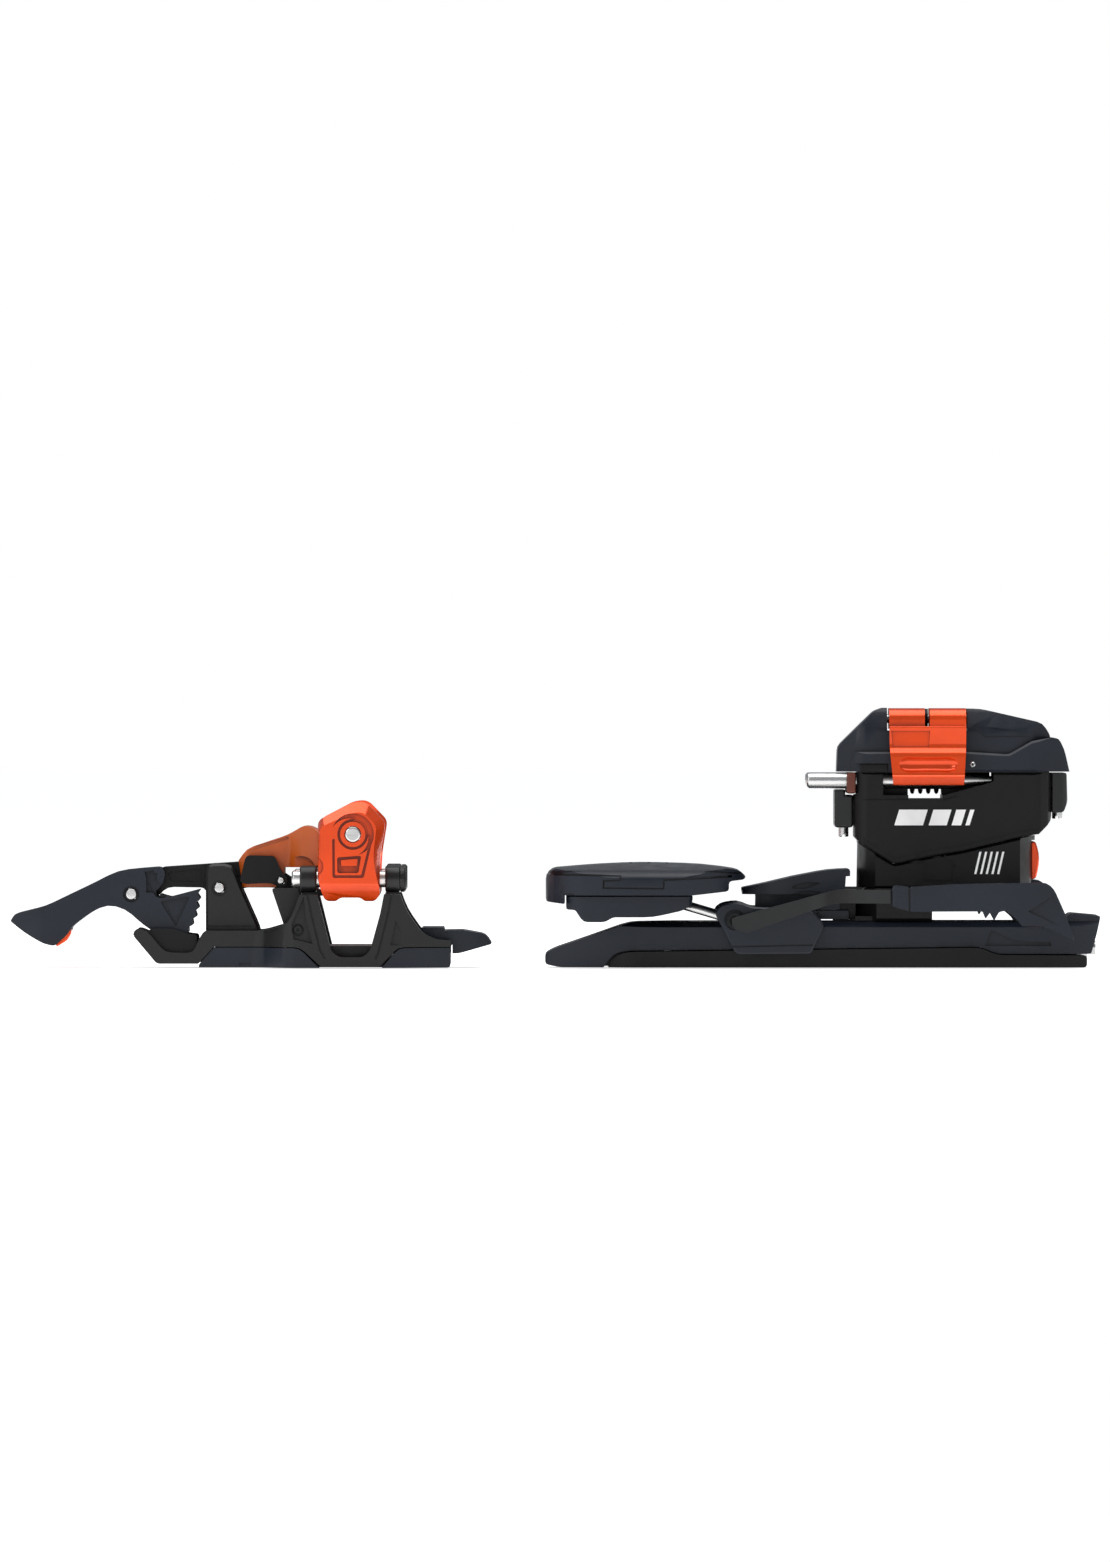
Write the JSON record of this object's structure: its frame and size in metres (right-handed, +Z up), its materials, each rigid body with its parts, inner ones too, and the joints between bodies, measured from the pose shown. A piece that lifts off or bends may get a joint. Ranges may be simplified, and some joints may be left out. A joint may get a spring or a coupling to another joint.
{
  "type": "touring binding",
  "caption": "Pin-type ski touring binding: toe unit with two sprung jaws and a lever, and a heel unit with a turning tower, climbing aids and a ski brake.",
  "frame": {"origin": "middle of the length and width, on the top face of the ski", "axes": "+X towards the tail of the ski, +Z up from the ski, so +Y is on the right of someone who looks towards the tip"},
  "size_m": [0.3621, 0.1044, 0.0862],
  "materials": {
    "navy_plastic": "dark navy fibre-filled moulded plastic, fine grain",
    "black_plastic": "black fibre-filled moulded plastic, fine grain",
    "black_alloy": "black anodised forged aluminium, satin",
    "dark_steel": "dark grey coated steel, satin",
    "orange_anodised": "bright orange anodised aluminium, semi-gloss",
    "orange_plastic": "orange moulded plastic, semi-gloss",
    "steel": "bright steel, turned",
    "bronze": "red-brown bearing material, satin"
  },
  "bodies": {
    "ski_mounts": {"toe_frame": "black_alloy", "toe_base_pad": "navy_plastic", "crampon_receiver": "navy_plastic", "toe_screw_1": "steel", "toe_screw_2": "steel", "toe_screw_3": "steel", "toe_screw_4": "steel", "front_bearing_left": "dark_steel", "front_bearing_right": "dark_steel", "rear_bearing_left": "dark_steel", "rear_bearing_right": "dark_steel", "jaw_shaft_left": "steel", "jaw_shaft_right": "steel", "rocker_pin": "steel", "heel_base_plate": "black_plastic", "heel_track": "navy_plastic", "heel_screw_1": "steel", "heel_screw_2": "steel", "heel_screw_3": "steel", "heel_screw_4": "steel"},
    "rocker": {"rocker_arm": "black_plastic", "rocker_cover_left": "navy_plastic", "rocker_cover_right": "navy_plastic", "centre_plate": "orange_plastic", "plate_pin": "steel", "lever_pin": "steel"},
    "lever": {"toe_lever": "navy_plastic", "lever_grip": "orange_plastic"},
    "jaw_left": {"jaw_left": "orange_anodised", "toe_pin_left": "steel"},
    "jaw_right": {"jaw_right": "orange_anodised", "toe_pin_right": "steel"},
    "jaw_springs": {"jaw_spring_front": "steel", "jaw_spring_rear": "steel"},
    "adjust_screw": {"adjust_screw": "steel"},
    "carriage": {"carriage": "black_plastic", "brake_bracket": "navy_plastic", "brake_latch": "navy_plastic"},
    "tower": {"tower_column": "black_plastic", "rear_indicator": "orange_plastic", "tower_housing": "black_plastic", "tower_cap": "navy_plastic", "front_plate": "dark_steel", "rear_plate": "dark_steel", "pin_guide": "bronze", "release_spring": "steel", "riser_axle": "steel"},
    "vertical_screw": {"vertical_release_screw": "steel"},
    "lateral_screw": {"lateral_release_screw": "steel"},
    "riser_high": {"riser_high": "orange_anodised"},
    "riser_low": {"riser_low": "orange_anodised"},
    "heel_pin_left": {"heel_pin_left": "steel"},
    "heel_pin_right": {"heel_pin_right": "steel"},
    "brake": {"brake_wire": "steel", "brake_arm_left": "dark_steel", "brake_arm_right": "dark_steel", "brake_paddle_left": "navy_plastic", "brake_paddle_right": "navy_plastic"},
    "brake_pad": {"brake_pad_top": "navy_plastic", "brake_pad_bottom": "navy_plastic"}
  },
  "joints": [
    {"name": "rocker_tilt", "type": "hinge", "parent": "ski_mounts", "child": "rocker", "pos_m": [-0.1116, 0, 0.0263], "axis": [0, -1, 0], "range_deg": [0, 6.5], "stiffness_Nm_per_rad": 3},
    {"name": "lever_lock", "type": "hinge", "parent": "rocker", "child": "lever", "pos_m": [-0.1409, 0, 0.0243], "axis": [0, 1, 0], "range_deg": [0, 14]},
    {"name": "jaw_left_swing", "type": "hinge", "parent": "ski_mounts", "child": "jaw_left", "pos_m": [-0.0669, -0.029, 0.0295], "axis": [1, 0, 0], "range_deg": [0, 17]},
    {"name": "jaw_right_swing", "type": "hinge", "parent": "ski_mounts", "child": "jaw_right", "pos_m": [-0.0669, 0.029, 0.0295], "axis": [-1, 0, 0], "range_deg": [0, 17]},
    {"name": "jaw_springs_lift", "type": "slide", "parent": "ski_mounts", "child": "jaw_springs", "axis": [0, 0, 1], "range_m": [0, 0.0056]},
    {"name": "heel_adjust", "type": "slide", "parent": "ski_mounts", "child": "carriage", "axis": [1, 0, 0], "range_m": [-0.008, 0.008]},
    {"name": "adjust_screw_turn", "type": "hinge", "parent": "ski_mounts", "child": "adjust_screw", "pos_m": [0.1287, 0, 0.0063], "axis": [1, 0, 0], "continuous": true},
    {"name": "tower_turn", "type": "hinge", "parent": "carriage", "child": "tower", "pos_m": [0.1287, 0, 0.04], "axis": [0, 0, 1], "range_deg": [-90, 90]},
    {"name": "vertical_screw_turn", "type": "hinge", "parent": "tower", "child": "vertical_screw", "pos_m": [0.0961, 0, 0.0455], "axis": [0, 0, 1], "continuous": true},
    {"name": "lateral_screw_turn", "type": "hinge", "parent": "tower", "child": "lateral_screw", "pos_m": [0.1673, 0, 0.0515], "axis": [0, 0, 1], "continuous": true},
    {"name": "riser_high_flip", "type": "hinge", "parent": "tower", "child": "riser_high", "pos_m": [0.1237, 0, 0.0826], "axis": [-1, 0, 0], "range_deg": [0, 180]},
    {"name": "riser_low_flip", "type": "hinge", "parent": "tower", "child": "riser_low", "pos_m": [0.1307, 0, 0.0826], "axis": [-1, 0, 0], "range_deg": [0, 180]},
    {"name": "heel_pin_left_spread", "type": "hinge", "parent": "tower", "child": "heel_pin_left", "pos_m": [0.1427, -0.0125, 0.062], "axis": [0, 0, 1], "range_deg": [0, 2.5], "stiffness_Nm_per_rad": 0.3},
    {"name": "heel_pin_right_spread", "type": "hinge", "parent": "tower", "child": "heel_pin_right", "pos_m": [0.1427, 0.0125, 0.062], "axis": [0, 0, -1], "range_deg": [0, 2.5], "stiffness_Nm_per_rad": 0.3},
    {"name": "brake_swing", "type": "hinge", "parent": "carriage", "child": "brake", "pos_m": [0.0597, 0, 0.0157], "axis": [0, 1, 0], "range_deg": [0, 50]},
    {"name": "brake_pad_tilt", "type": "hinge", "parent": "brake", "child": "brake_pad", "pos_m": [0.0427, 0, 0.0206], "axis": [0, 1, 0], "range_deg": [-32, 0]}
  ],
  "couplings": [
    {"joint": "jaw_left_swing", "follows": "rocker_tilt", "ratio": 2.5},
    {"joint": "jaw_right_swing", "follows": "rocker_tilt", "ratio": 2.5},
    {"joint": "jaw_springs_lift", "follows": "rocker_tilt", "m_per_rad": 0.0485},
    {"joint": "adjust_screw_turn", "follows": "heel_adjust", "rad_per_m": 4189},
    {"joint": "heel_pin_right_spread", "follows": "heel_pin_left_spread", "ratio": 1},
    {"joint": "brake_pad_tilt", "follows": "brake_swing", "ratio": -0.6}
  ]
}
